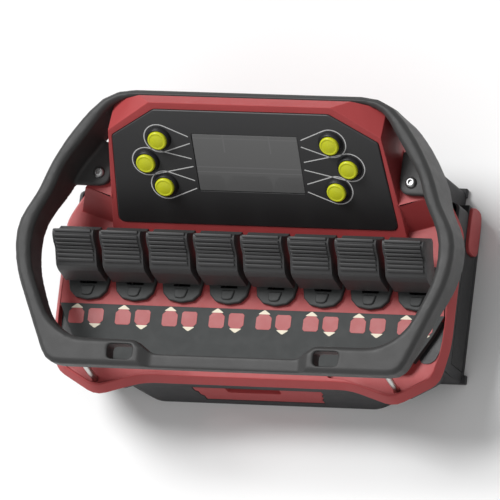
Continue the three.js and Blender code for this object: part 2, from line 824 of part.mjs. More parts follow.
// A boot on the deck: a raised plate with rounded front corners and a plug into the deck slot.
function leverBoot() {
  const [half, front, back] = [lever_width / 2, -boot_front, boot_back];
  const plate = outline([
    [half, back, 3],
    [-half, back, 3],
    [-half, front, boot_corner],
    [half, front, boot_corner],
  ]);
  const top = slopedSlab(plate, fit, boot_height, 0.8, 0.8);
  const plug = box(
    [-boot_hole.half_width + fit, boot_hole.front + fit, -wall - 2],
    [boot_hole.half_width - fit, boot_hole.back - fit, boot_height - 1],
  );
  const swing = Math.tan(degrees(lever_swing)) * (pivot_drop + 1) + stem_thickness / 2 + 1.2;
  const opening = box([-stem_width / 2 - 1, pivot_y - swing, -10], [stem_width / 2 + 1, pivot_y + swing, 10]);
  const tongue_shape = outline([
    [tongue_width / 2, -1.6],
    [-tongue_width / 2, -1.6],
    [-tongue_width / 2, front + 3.2, 3],
    [tongue_width / 2 - 2, front + 3.2, 3],
  ]);
  const tongue = slopedSlab(tongue_shape, boot_height - 1, boot_height + tongue_height, 0.6, 0.6);
  return join(cut(join(top, plug), opening), cut(tongue, opening));
}

function leverCarrier() {
  const end = (lever_count * lever_pitch) / 2 - 2.5;
  const floor_level = pivot_height - hub_diameter / 2 - 2;
  const floor = box([-end, pivot_y - 13, floor_level - carrier_thickness], [end, pivot_y + 13, floor_level]);
  const dividers = Array.from({ length: lever_count + 1 }, (_, i) => {
    const x = THREE.MathUtils.clamp((i - lever_count / 2) * lever_pitch, -end + 1.5, end - 1.5);
    return box([x - 1.5, pivot_y - 11, floor_level - 1], [x + 1.5, pivot_y + 11, rim_bottom - 1]);
  });
  const bore = bar(shaft_diameter + 2 * fit, far, 'x', [0, pivot_y, pivot_height], 12);
  return cut(join(floor, ...dividers), bore);
}

// ---------------------------------------------------------------- label plate

function labelPlate() {
  const bottom = deck_height + fit;
  const plate = slab(mirrored(label_corners()), bottom, bottom + label_thickness);
  const outer = slab(mirrored(label_corners()), deck_height - pocket_depth + fit, bottom + label_thickness);
  const inner = slab(mirrored(label_corners(label_thickness)), 0, bottom);
  const slanted_only = box([-far, label_front_y + 8, 0], [far, label_top_y - 4, far]);
  const skirt = cut(outer, inner).intersect(slanted_only);
  return join(plate, cut(skirt, box([-label_front_half_width, -far, 0], [label_front_half_width, far, bottom])));
}

// ---------------------------------------------------------------- battery and side module

function battery() {
  const lean_matrix = batteryBlock(0, battery_depth).intersect(faceted([front_plane(0.4)]));
  const finger = moved(
    slopedSlab(rectangle(46, 12, 3), -6, 6, 1, 1),
    shift(-4, base_front_y + 2, battery_foot + battery_height - 4).multiply(front_view),
  );
  return cut(lean_matrix, finger);
}

const batteryContacts = () => box(
  [-22, base_front_y + battery_depth + wall + 3 * fit, battery_foot + 4],
  [22, base_front_y + battery_depth + wall + 8, battery_foot + 16],
);

function sideModule() {
  const block = box(
    [base_half_width - module_thickness, base_bulge_front_y, foot_height + 1],
    [base_half_width, base_bulge_back_y - 1, module_height],
  );
  const seat = stopShape(fit, base_half_width - module_thickness + 1.5, base_half_width + 5);
  const stem_hole = bar(12 + 2 * fit, 40, 'x', [base_half_width, stop_y, stop_level]);
  return cut(block, seat, stem_hole);
}

// The stop button's outline on the side wall, made solid from one X to another.
function stopShape(gap, from, to) {
  const shape = rectangle(stop_length + 2 * gap, stop_height + 2 * gap, stop_corner);
  return moved(along_x(shape, from, to), shift(0, stop_y, stop_level));
}

function stopButton() {
  const rear = base_half_width - module_thickness + 1.5 + stop_travel + fit;
  const cap = stopShape(0, rear, base_half_width + stop_rise);
  const stem = bar(12, rear - base_half_width + module_thickness + 1, 'x', [
    (rear + base_half_width - module_thickness - 1) / 2 + 0.5,
    stop_y,
    stop_level,
  ]);
  return join(cap, stem);
}

// ---------------------------------------------------------------- electronics and screws

const mainBoard = () => box([-118, 0, board_level], [118, 96, board_level + board_thickness]);
const radioModule = () => box([-100, 40, board_level + board_thickness + fit], [-48, 84, board_level + 10]);

const housingScrew = () => turned([
  [0, 0],
  [housing_screw_head / 2, 0],
  [housing_screw_head / 2, 3],
  [housing_screw_diameter / 2, 3],
  [housing_screw_diameter / 2, rim_bottom],
  [0, rim_bottom],
], 14);

// ---------------------------------------------------------------- put the station together

add('top_housing', topHousing(), finish.red);
add('bottom_housing', bottomHousing(), finish.grey);
add('housing_seal', housingSeal(), finish.black);
add('guard_frame', guardFrame(), finish.grey);
add('label_plate', labelPlate(), finish.grey);
add('display_fascia', displayFascia(), finish.black, panel);
add('display_screen', displayScreen(), finish.screen, panel);
add('display_board', displayBoard(), finish.board, panel);

for (const [side, label] of [[-1, 'left'], [1, 'right']]) {
  const screw = add(`guard_screw_${label}`, guardScrew(), finish.steel);
  screw.position.set(side * tab_x, tab_y, flank_height);
  const rod = add(`support_rod_${label}`, rodSolid(), finish.steel);
  rod.applyMatrix4(rodMatrix(side));
}

buttonSites().forEach(([x, y], i) => {
  const bezel = add(`button_bezel_${i + 1}`, buttonBezel(), finish.black, panel);
  const cap = add(`button_cap_${i + 1}`, buttonCap(), finish.yellow, panel);
  bezel.position.set(x, y, 0);
  cap.position.set(x, y, 0);
});

lever_row.forEach((x, i) => {
  const boot = add(`lever_boot_${i + 1}`, leverBoot(), finish.dark);
  boot.position.set(x, 0, deck_height);
  const paddle = add(`lever_${i + 1}`, lever(), finish.dark);
  paddle.position.set(x, pivot_y, pivot_height);
});

const shaft_length = lever_count * lever_pitch - 3;
add('lever_shaft', bar(shaft_diameter, shaft_length, 'x', [0, pivot_y, pivot_height], 12), finish.steel);
add('lever_carrier', leverCarrier(), finish.dark);
add('main_circuit_board', mainBoard(), finish.board);
add('radio_module', radioModule(), finish.steel);
add('battery_pack', battery(), finish.red);
add('battery_contacts', batteryContacts(), finish.brass);
add('side_module', sideModule(), finish.black);
add('stop_button', stopButton(), finish.red);
housing_screw_sites.forEach(([x, y], i) => {
  const screw = add(`housing_screw_${i + 1}`, housingScrew(), finish.steel);
  screw.position.set(x, y, 4);
});

// The origin is the middle of the underside of the overall box.
const part = new THREE.Group();
const reach = new THREE.Box3().setFromObject(station);
station.position.y = -(reach.min.y + reach.max.y) / 2;
part.add(station);

export default part;
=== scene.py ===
"""Belt-carried radio control station with ribbed paddle levers, a display and a guard frame."""

import json
import math

import bmesh
import bpy
from bpy.props import FloatProperty, FloatVectorProperty, IntProperty, PointerProperty
from mathutils import Matrix, Vector


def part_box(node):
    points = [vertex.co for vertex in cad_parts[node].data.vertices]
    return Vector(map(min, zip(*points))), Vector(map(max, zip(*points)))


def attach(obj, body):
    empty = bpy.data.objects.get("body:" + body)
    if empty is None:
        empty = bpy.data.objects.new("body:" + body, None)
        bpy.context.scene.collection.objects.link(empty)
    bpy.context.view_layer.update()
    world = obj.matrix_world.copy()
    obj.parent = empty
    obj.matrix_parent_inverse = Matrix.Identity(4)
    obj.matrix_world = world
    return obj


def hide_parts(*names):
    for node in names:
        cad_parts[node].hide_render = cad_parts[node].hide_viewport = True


bl_info = {
    "name": "Control station",
    "version": (1, 0, 0),
    "blender": (4, 5, 0),
    "location": "View3D > Sidebar > Station",
    "description": "Builds the finished pieces of a radio control station round its packed model",
    "category": "Object",
}

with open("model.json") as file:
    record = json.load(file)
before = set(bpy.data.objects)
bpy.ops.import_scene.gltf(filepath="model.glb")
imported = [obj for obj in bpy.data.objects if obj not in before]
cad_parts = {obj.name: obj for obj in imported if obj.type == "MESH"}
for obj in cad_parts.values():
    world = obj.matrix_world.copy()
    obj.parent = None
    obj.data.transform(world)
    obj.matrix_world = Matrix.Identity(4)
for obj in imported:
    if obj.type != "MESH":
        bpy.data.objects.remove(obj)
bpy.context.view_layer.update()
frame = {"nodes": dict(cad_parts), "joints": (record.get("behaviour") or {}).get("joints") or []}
joints = {joint["name"]: joint for joint in frame["joints"]}
ROOT = "station"
MM = 0.001


# ------------------------------------------------------------------ sizes and colours


def size(label, default, description):
    return FloatProperty(name=label, default=default, unit="LENGTH", precision=5, description=description)


def colour(label, default, description):
    settings = {"size": 3, "min": 0, "max": 1, "subtype": "COLOR"}
    return FloatVectorProperty(name=label, default=default, description=description, **settings)


class StationSizes(bpy.types.PropertyGroup):
    """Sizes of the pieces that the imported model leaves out."""

    rib_count: IntProperty(name="Ribs", default=8, min=3, description="Ridges on the face of each paddle")
    rib_width: size("Rib width", 2.5 * MM, "Width of each ridge along the paddle face")
    rib_height: size("Rib height", 1.5 * MM, "How far each ridge stands proud")
    rib_margin: size("Rib margin", 1.8 * MM, "Smooth edge left at each side of a paddle")
    window_width: size("Window width", 13.1 * MM, "Width of each coloured field on the label plate")
    window_height: size("Window height", 12.7 * MM, "Height of each coloured field on the label plate")
    line_width: size("Line width", 0.85 * MM, "Width of the lines round the buttons")
    guard_voxel: size("Guard detail", 1.1 * MM, "Mesh size of the moulded guard")


class StationColours(bpy.types.PropertyGroup):
    """Colours of the finishes."""

    red: colour("Housing red", (0.40, 0.056, 0.058), "Top housing")
    grey: colour("Housing grey", (0.036, 0.036, 0.038), "Bottom housing")
    guard: colour("Guard grey", (0.046, 0.046, 0.046), "Guard frame")
    paddle: colour("Paddle grey", (0.046, 0.046, 0.047), "Lever paddles")
    boot: colour("Boot grey", (0.050, 0.053, 0.053), "Lever boots")
    label: colour("Label grey", (0.040, 0.043, 0.043), "Label plate")
    fascia: colour("Fascia black", (0.030, 0.030, 0.031), "Display fascia")
    screen: colour("Screen grey", (0.115, 0.115, 0.115), "Display when dim")
    yellow: colour("Button yellow", (0.60, 0.63, 0.018), "Push buttons")
    cream: colour("Arrow cream", (0.80, 0.73, 0.58), "Direction arrows")
    line: colour("Line grey", (0.60, 0.60, 0.60), "Lines round the buttons")


# ------------------------------------------------------------------ materials


class Value:
    """A number that varies over a surface. Arithmetic on it adds Math nodes."""

    def __init__(self, graph, socket):
        self.graph, self.socket = graph, socket

    def _math(self, operation, first, second):
        return self.graph.node("ShaderNodeMath", {"operation": operation}, {0: first, 1: second})["Value"]

    def __add__(self, other):
        return self._math("ADD", self, other)

    def __radd__(self, other):
        return self._math("ADD", other, self)

    def __sub__(self, other):
        return self._math("SUBTRACT", self, other)

    def __rsub__(self, other):
        return self._math("SUBTRACT", other, self)

    def __mul__(self, other):
        return self._math("MULTIPLY", self, other)

    def __rmul__(self, other):
        return self._math("MULTIPLY", other, self)

    def below(self, other):
        return self._math("LESS_THAN", self, other)

    def above(self, other):
        return self._math("GREATER_THAN", self, other)

    def absolute(self):
        return self._math("ABSOLUTE", self, 0.0)


class Graph:
    """A new material and its nodes."""

    def __init__(self, name):
        self.material = bpy.data.materials.new(name)
        self.material.use_nodes = True
        self.tree = self.material.node_tree
        self.shader = self.tree.nodes["Principled BSDF"]
        self.place = self.node("ShaderNodeTexCoord", {}, {})["Object"]

    def node(self, kind, settings, values):
        """Adds a node: its settings are set first, then the values or links of its sockets."""
        made = self.tree.nodes.new(kind)
        for key, value in settings.items():
            if key == "stops":
                ramp = made.color_ramp.elements
                ramp[0].position, ramp[0].color = value[0]
                ramp[-1].position, ramp[-1].color = value[-1]
                for position, tint in value[1:-1]:
                    ramp.new(position).color = tint
            else:
                setattr(made, key, value)
        for key, value in values.items():
            self.feed(made.inputs[key], value)
        return {output.name: Value(self, output) for output in made.outputs if output.enabled}

    def feed(self, socket, value):
        if isinstance(value, Value):
            self.tree.links.new(value.socket, socket)
        else:
            socket.default_value = value

    def set(self, **values):
        for key, value in values.items():
            self.feed(self.shader.inputs[key.replace("_", " ")], value)

    def noise(self, scale, detail=2.0, roughness=0.5):
        values = {"Vector": self.place, "Scale": scale, "Detail": detail, "Roughness": roughness}
        return self.node("ShaderNodeTexNoise", {}, values)["Fac"]

    def between(self, low, high, factor):
        """The colour between two colours."""
        values = {"Factor": factor, 6: low, 7: high}
        return self.node("ShaderNodeMix", {"data_type": "RGBA"}, values)["Result"]

    def ramp(self, factor, low, high):
        """0 where the factor is under low, 1 over high, and even between them."""
        stops = [(low, (0, 0, 0, 1)), (high, (1, 1, 1, 1))]
        return self.node("ShaderNodeValToRGB", {"stops": stops}, {"Fac": factor})["Color"]

    def edges(self, radius):
        """1 on worn outer edges and 0 on flat faces."""
        rounded = self.node("ShaderNodeBevel", {"samples": 4}, {"Radius": radius})["Normal"]
        flat = self.node("ShaderNodeNewGeometry", {}, {})["Normal"]
        dot = {"operation": "DOT_PRODUCT"}
        alike = self.node("ShaderNodeVectorMath", dot, {0: rounded, 1: flat})["Value"]
        return self.ramp(1.0 - alike, 0.02, 0.22)

    def bump(self, height, distance, strength=1.0):
        values = {"Height": height, "Distance": distance, "Strength": strength}
        return self.node("ShaderNodeBump", {}, values)["Normal"]


def shade(tint, factor):
    return (*(min(1.0, channel * factor) for channel in tint), 1.0)


def moulded(name, tint, roughness=0.5, grain=0.00006, variation=0.08, wear=0.0, coat=0.0):
    """Moulded plastic: spark-eroded grain, faint mottling, handling marks and rubbed edges."""
    graph = Graph(name)
    fine = graph.noise(2600, 3.0, 0.6)
    cells = graph.node("ShaderNodeTexVoronoi", {}, {"Vector": graph.place, "Scale": 1500})["Distance"]
    broad = graph.noise(38, 4.0, 0.55)
    smudge = graph.ramp(graph.noise(90, 5.0, 0.65), 0.42, 0.70)
    body = graph.between(shade(tint, 1 - variation), shade(tint, 1 + variation), broad)
    if wear:
        rubbed = graph.edges(0.0012) * (graph.noise(210, 3.0) * 0.6 + 0.4) * wear
        body = graph.between(body, shade(tint, 1.55), rubbed)
    graph.set(
        Base_Color=body,
        Roughness=fine * 0.10 + smudge * -0.07 + (roughness - 0.02),
        Normal=graph.bump(fine * 0.6 + cells * 0.7, grain),
        Coat_Weight=coat,
        Coat_Roughness=0.25,
        Specular_IOR_Level=0.34,
    )
    return graph.material


def brushed(name, tint, roughness, along="Z"):
    """Turned or drawn metal, with fine lines along one axis."""
    graph = Graph(name)
    stretch = {"X": (20, 900, 900), "Y": (900, 20, 900), "Z": (900, 900, 20)}[along]
    lines = graph.node("ShaderNodeMapping", {}, {"Vector": graph.place, "Scale": stretch})["Vector"]
    streaks = graph.node("ShaderNodeTexNoise", {}, {"Vector": lines, "Scale": 4.0, "Detail": 3.0})["Fac"]
    graph.set(
        Base_Color=graph.between(shade(tint, 0.86), shade(tint, 1.1), streaks),
        Metallic=1.0,
        Roughness=streaks * 0.18 + roughness,
        Normal=graph.bump(streaks, 0.00003),
    )
    return graph.material


def panel_place(graph):
    """Object coordinates turned to lie along the panel: X to the right, Y up it, Z out of it."""
    centre, turn = panel_centre(), panel_turn().to_euler()
    subtract = {"operation": "SUBTRACT"}
    moved = graph.node("ShaderNodeVectorMath", subtract, {0: graph.place, 1: tuple(centre)})["Vector"]
    spun = {"Vector": moved, "Rotation": (-turn.x, 0, 0)}
    flat = graph.node("ShaderNodeMapping", {}, spun)["Vector"]
    return graph.node("ShaderNodeSeparateXYZ", {}, {"Vector": flat})


def film_with_painted_shade(name, tint):
    """The fascia's film, with painted shade that darkens it down the panel."""
    graph = Graph(name)
    place = panel_place(graph)
    # Painted shade: the film's colour goes from darker at the bottom of the panel to lighter at the top.
    height = (place["Y"] + 0.056) * 9.6
    clamp = {"operation": "MULTIPLY", "use_clamp": True}
    painted_shade_fall = graph.node("ShaderNodeMath", clamp, {0: height, 1: 1.0})["Value"]
    grain = graph.noise(3200, 2.0)
    graph.set(
        Base_Color=graph.between(shade(tint, 0.42), shade(tint, 1.45), painted_shade_fall),
        Roughness=grain * 0.08 + 0.42,
        Normal=graph.bump(grain, 0.00003),
    )
    return graph.material


def dim_screen(name, tint):
    """A dim display under glass, with faint rows and columns of fields, and painted shade that darkens it
    towards the bottom of the panel.
    """
    graph = Graph(name)
    place = panel_place(graph)

    def line(axis, at, width):
        return (place[axis] - at).absolute().below(width)

    columns = line("X", -0.0185, 0.0006) + line("X", 0.0205, 0.0006)
    upper = place["Y"].above(0.0095)
    rows = line("Y", 0.0222, 0.0005) + line("Y", -0.0040, 0.0005) + line("Y", -0.0085, 0.0004)
    marks = graph.ramp(columns * upper + rows, 0.0, 1.0)
    # Painted shade: the screen's ground is lighter towards the top of the panel and darker towards the
    # bottom.
    painted_shade_fall = place["Y"] * 14.0 + 0.5
    shaded_ground = graph.between(shade(tint, 0.80), shade(tint, 1.12), painted_shade_fall)
    graph.set(
        Base_Color=graph.between(shaded_ground, shade(tint, 1.34), marks * 0.55),
        Roughness=graph.noise(60, 4.0) * 0.05 + 0.22,
        Coat_Weight=0.6,
        Coat_Roughness=0.04,
    )
    return graph.material


def circuit(name, tint):
    """Green solder resist over copper tracks."""
    graph = Graph(name)
    bricks = {"Vector": graph.place, "Scale": 90, "Mortar Size": 0.03}
    tracks = graph.node("ShaderNodeTexBrick", {}, bricks)["Fac"]
    graph.set(
        Base_Color=graph.between(shade(tint, 1.0), shade(tint, 1.7), tracks),
        Roughness=graph.noise(900) * 0.1 + 0.32,
        Normal=graph.bump(tracks, 0.00005),
    )
    return graph.material


def floor_paint(name):
    """Pale studio paint."""
    graph = Graph(name)
    pale = graph.between((0.88, 0.88, 0.88, 1), (0.92, 0.92, 0.92, 1), graph.noise(3.0))
    graph.set(Base_Color=pale, Roughness=0.8)
    return graph.material


finishes = {}


def finish(name):
    """The material of that name, made the first time it is asked for."""
    tints = bpy.context.scene.station_colours
    makers = {
        "red": lambda: moulded("housing_red", tints.red, 0.48, wear=0.35, coat=0.0),
        "window": lambda: moulded("field_red", shade(tints.red, 0.92)[:3], 0.38, 0.00002, 0.03),
        "grey": lambda: moulded("housing_grey", tints.grey, 0.56, 0.00008, wear=0.5),
        "guard": lambda: moulded("guard_grey", tints.guard, 0.50, 0.00008, wear=0.6),
        "paddle": lambda: moulded("paddle_grey", tints.paddle, 0.44, 0.00004, wear=0.8),
        "boot": lambda: moulded("boot_grey", tints.boot, 0.55, 0.00006, wear=0.4),
        "label": lambda: moulded("label_grey", tints.label, 0.64, 0.00002, 0.03),
        "black": lambda: moulded("trim_black", (0.014, 0.014, 0.015), 0.42, 0.00004),
        "rubber": lambda: moulded("seal_black", (0.012, 0.012, 0.012), 0.7, 0.00004),
        "yellow": lambda: moulded("button_yellow", tints.yellow, 0.34, 0.00002, 0.04, coat=0.2),
        "cream": lambda: moulded("arrow_cream", tints.cream, 0.5, 0.00001, 0.03),
        "line": lambda: moulded("line_grey", tints.line, 0.45, 0.00001, 0.03),
        "fascia": lambda: film_with_painted_shade("fascia_painted_shade", tints.fascia),
        "screen": lambda: dim_screen("screen_glass", tints.screen),
        "steel": lambda: brushed("rod_steel", (0.60, 0.60, 0.57), 0.24),
        "screw": lambda: brushed("screw_steel", (0.34, 0.34, 0.34), 0.3, "X"),
        "can": lambda: brushed("can_metal", (0.62, 0.62, 0.62), 0.3, "X"),
        "brass": lambda: brushed("contact_brass", (0.62, 0.42, 0.16), 0.25, "X"),
        "board": lambda: circuit("board_green", (0.014, 0.10, 0.036)),
        "floor": lambda: floor_paint("floor_paint"),
    }
    if name not in finishes:
        finishes[name] = makers[name]()
    return finishes[name]


# ------------------------------------------------------------------ building pieces


def piece(name, mesh, body, material, nodes=()):
    """Links a finished mesh as a piece that rides on a body."""
    if isinstance(mesh, bmesh.types.BMesh):
        made = bpy.data.meshes.new(name)
        mesh.to_mesh(made)
        mesh.free()
        mesh = made
    if not mesh.materials:
        mesh.materials.append(finish(material))
    made = bpy.data.objects.new(name, mesh)
    bpy.context.scene.collection.objects.link(made)
    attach(made, body)
    if nodes:
        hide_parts(*nodes)
    return made


def soften(mesh, angle=32):
    """Smooth shading, sharp only where faces meet at more than the angle."""
    mesh.polygons.foreach_set("use_smooth", [True] * len(mesh.polygons))
    mesh.set_sharp_from_angle(angle=math.radians(angle))


def bevel(bm, edges, width, segments=3, clamp=True):
    return bmesh.ops.bevel(
        bm,
        geom=list(edges),
        offset=width,
        offset_type="OFFSET",
        affect="EDGES",
        segments=segments,
        profile=0.5,
        material=-1,
        clamp_overlap=clamp,
    )


def sharp_edges(bm, angle=30):
    return [edge for edge in bm.edges if edge.is_manifold and edge.calc_face_angle(0) > math.radians(angle)]


def merged_copy(node):
    """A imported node's mesh with its loose triangles joined."""
    bm = bmesh.new()
    bm.from_mesh(frame["nodes"][node].data)
    bmesh.ops.remove_doubles(bm, verts=bm.verts, dist=1e-6)
    return bm


def settled(made):
    """The piece with its modifiers applied."""
    fixed = bpy.data.meshes.new_from_object(made.evaluated_get(bpy.context.evaluated_depsgraph_get()))
    made.modifiers.clear()
    made.data = fixed
    return made


def rounded(node, name, material, width, segments=2, angle=30, body=ROOT, slot=None):
    """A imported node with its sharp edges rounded."""
    bm = merged_copy(node)
    bevel(bm, sharp_edges(bm, angle), width, segments, clamp=False)
    made = piece(name, bm, body, material, [node])
    soften(made.data, 40)
    made.modifiers.new("Even", "WEIGHTED_NORMAL").keep_sharp = True
    return settled(made)


def outline_face(bm, points):
    """One face through points, in order."""
    return bm.faces.new([bm.verts.new(point) for point in points])


def thicken(bm, face, by):
    """Extrudes a face by a vector and closes the solid."""
    made = bmesh.ops.extrude_face_region(bm, geom=[face])
    moved = [item for item in made["geom"] if isinstance(item, bmesh.types.BMVert)]
    bmesh.ops.translate(bm, verts=moved, vec=by)
    bmesh.ops.recalc_face_normals(bm, faces=bm.faces)


def spun(bm, profile, segments=48):
    """A turned solid about Z from its (radius, height) profile."""
    verts = [bm.verts.new((radius, 0, height)) for radius, height in profile]
    edges = [bm.edges.new(pair) for pair in zip(verts, verts[1:])]
    made = bmesh.ops.spin(
        bm,
        geom=verts + edges,
        cent=(0, 0, 0),
        axis=(0, 0, 1),
        angle=math.tau,
        steps=segments,
        use_merge=True,
        use_duplicate=False,
    )
    bmesh.ops.remove_doubles(bm, verts=bm.verts, dist=1e-7)
    bmesh.ops.recalc_face_normals(bm, faces=bm.faces)
    return made


def place(bm, matrix):
    bmesh.ops.transform(bm, matrix=matrix, verts=bm.verts)


def middle(node):
    low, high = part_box(node)
    return (low + high) / 2


def panel_normal():
    return -Vector(joints["button_1_press"]["axis"])


def panel_turn():
    """Turns X, Y and Z to right, up and out of the panel."""
    out = panel_normal()
    right = Vector((1, 0, 0))
    return Matrix((right, out.cross(right), out)).transposed()


def panel_centre():
    """The middle of the screen, on the front plane of the display block."""
    return middle("display_screen") + panel_normal() * 0.55 * MM


def on_panel(x=0.0, y=0.0, z=0.0):
    """Places a shape on the panel at that point, given in metres from the middle of the screen."""
    turn = panel_turn()
    return Matrix.Translation(panel_centre() + turn @ Vector((x, y, z))) @ turn.to_4x4()


# Button places from the middle of the screen; the left ones mirror these
BUTTON_PLACES = [(73 * MM, 20.9 * MM), (86 * MM, -0.4 * MM), (73 * MM, -21.5 * MM)]


def button_sites():
    return [(side * x, y) for x, y in BUTTON_PLACES for side in (-1, 1)]


def lever_sites():
    """Pivot of each lever."""
    names = sorted(name for name in joints if name.startswith("lever_"))
    return [(name.split("_")[1], Vector(joints[name]["pos_m"])) for name in names]


# ------------------------------------------------------------------ the pieces


class STATION_OT_housings(bpy.types.Operator):
    """Top housing, bottom housing and the seal between them"""

    bl_idname = "station.housings"
    bl_label = "Housings"

    def execute(self, context):
        rounded("top_housing", "red_housing", "red", 0.55 * MM, slot="housing_red")
        rounded("bottom_housing", "grey_base", "grey", 0.6 * MM, slot="housing_grey")
        rounded("housing_seal", "rim_seal", "rubber", 0.25 * MM, slot="seal_black")
        return {"FINISHED"}


class STATION_OT_guard(bpy.types.Operator):
    """Guard frame, its screws and its support rods"""

    bl_idname = "station.guard"
    bl_label = "Guard"

    def execute(self, context):
        sizes = context.scene.station_sizes
        bm = merged_copy("guard_frame")
        made = piece("moulded_guard", bm, ROOT, "guard", ["guard_frame"])
        remesh = made.modifiers.new("Moulded", "REMESH")
        remesh.mode, remesh.voxel_size, remesh.adaptivity = "VOXEL", sizes.guard_voxel, 0.0
        remesh.use_smooth_shade = True
        smooth = made.modifiers.new("Rounded", "SMOOTH")
        smooth.factor, smooth.iterations = 0.5, 4
        settled(made).data.polygons.foreach_set("use_smooth", [True] * len(made.data.polygons))
        for side in ("left", "right"):
            self.screw(side)
            rounded(f"support_rod_{side}", f"rod_{side}", "steel", 0.4 * MM, 2, 40, slot="steel")
        return {"FINISHED"}

    def screw(self, side):
        """Round head with a hexagon socket."""
        node = f"guard_screw_{side}"
        low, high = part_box(node)
        head = high.z - 3.3 * MM
        bm = bmesh.new()
        spun(bm, [(0, -8 * MM), (2.4 * MM, -8 * MM), (2.4 * MM, 0), (4.7 * MM, 0), (4.7 * MM, 1.3 * MM),
                  (4.3 * MM, 2.3 * MM), (3.4 * MM, 3.0 * MM), (2.6 * MM, 3.25 * MM), (2.1 * MM, 3.2 * MM),
                  (1.9 * MM, 1.4 * MM), (0, 1.3 * MM)])
        place(bm, Matrix.Translation(((low.x + high.x) / 2, (low.y + high.y) / 2, head)))
        made = piece(f"screw_{side}", bm, ROOT, "screw", [node])
        soften(made.data, 35)


class STATION_OT_panel(bpy.types.Operator):
    """Fascia, screen and the lines that join each button to the screen"""

    bl_idname = "station.panel"
    bl_label = "Display panel"

    def execute(self, context):
        rounded("display_fascia", "fascia", "fascia", 0.25 * MM, slot="fascia_black")
        rounded("display_screen", "screen", "screen", 0.2 * MM, slot="screen_glass")
        width = context.scene.station_sizes.line_width
        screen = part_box("display_screen")
        edge = (screen[1].x - screen[0].x) / 2
        ends = [(23.1, 17.1), (3.1, -3.9), (-16.9, -23.9)]
        for number, ((x, y), (high, low)) in enumerate(zip(BUTTON_PLACES, ends), 1):
            stops = [(edge + 3.0 * MM, high * MM), (edge + 2.4 * MM, low * MM)]
            for side, label in ((-1, "left"), (1, "right")):
                self.line(f"button_line_{label}_{number}", side, (x, y), stops, width)
        return {"FINISHED"}

    def line(self, name, side, centre, stops, width, radius=12.5 * MM):
        """Two straight lines from the screen that run on into an arc round the button."""
        middle_point = Vector(centre)
        starts = []
        for stop, turn in zip(stops, (1, -1)):
            away = Vector(stop) - middle_point
            lean = math.acos(radius / away.length)
            starts.append(math.atan2(away.y, away.x) + turn * -lean)
        first, last = starts[0], starts[1]
        while last > first:
            last -= math.tau
        steps = 36
        path = [Vector(stops[0])]
        for i in range(steps + 1):
            at = first + (last - first) * i / steps
            path.append(middle_point + radius * Vector((math.cos(at), math.sin(at))))
        path.append(Vector(stops[1]))
        bm = bmesh.new()
        rims = [[], []]
        for before, point, after in zip([path[0]] + path, path, path[1:] + [path[-1]]):
            along = (after - before).normalized()
            across = Vector((-along.y, along.x)) * width / 2
            for rim, offset in zip(rims, (across, -across)):
                spot = point + offset
                rim.append(bm.verts.new((side * spot.x, spot.y, 0.82 * MM)))
        edges = [bm.edges.new(pair) for rim in rims for pair in zip(rim, rim[1:])]
        bmesh.ops.bridge_loops(bm, edges=edges)
        made = bmesh.ops.extrude_face_region(bm, geom=bm.faces[:])
        raised = [item for item in made["geom"] if isinstance(item, bmesh.types.BMVert)]
        bmesh.ops.translate(bm, verts=raised, vec=(0, 0, 0.14 * MM))
        bmesh.ops.recalc_face_normals(bm, faces=bm.faces)
        place(bm, on_panel())
        piece(name, bm, ROOT, "line")


class STATION_OT_buttons(bpy.types.Operator):
    """Push buttons and their collars"""

    bl_idname = "station.buttons"
    bl_label = "Buttons"

    # Radius and height above the fascia, in millimetres
    cap_profile = [
        (0, -6.5), (2.9, -6.5), (2.9, 2.0), (7.95, 2.0), (7.95, 5.4), (7.8, 6.0), (7.3, 6.5),
        (6.7, 6.7), (6.3, 6.62), (5.9, 6.45), (5.5, 6.5), (3.6, 6.85), (1.8, 7.0), (0, 7.05),
    ]
    collar_profile = [
        (6.9, -4.8), (9.1, -4.8), (9.1, 1.1), (10.5, 1.1), (10.5, 1.6), (10.2, 2.6), (9.7, 3.6),
        (9.3, 4.3), (8.9, 4.6), (8.4, 4.6), (8.25, 4.4), (8.25, -0.2), (6.9, -0.2), (6.9, -4.8),
    ]

    def execute(self, context):
        for number, (x, y) in enumerate(button_sites(), 1):
            cap_body = f"button_cap_{number}_body"
            for name, node, profile, body, look, slot in (
                ("cap", "button_cap", self.cap_profile, cap_body, "yellow", "button_yellow"),
                ("collar", "button_bezel", self.collar_profile, ROOT, "black", "bezel_black"),
            ):
                bm = bmesh.new()
                spun(bm, [(radius * MM, height * MM) for radius, height in profile], 56)
                place(bm, on_panel(x, y))
                made = piece(f"{name}_{number}", bm, body, look, [f"{node}_{number}"])
                soften(made.data, 50)
        return {"FINISHED"}


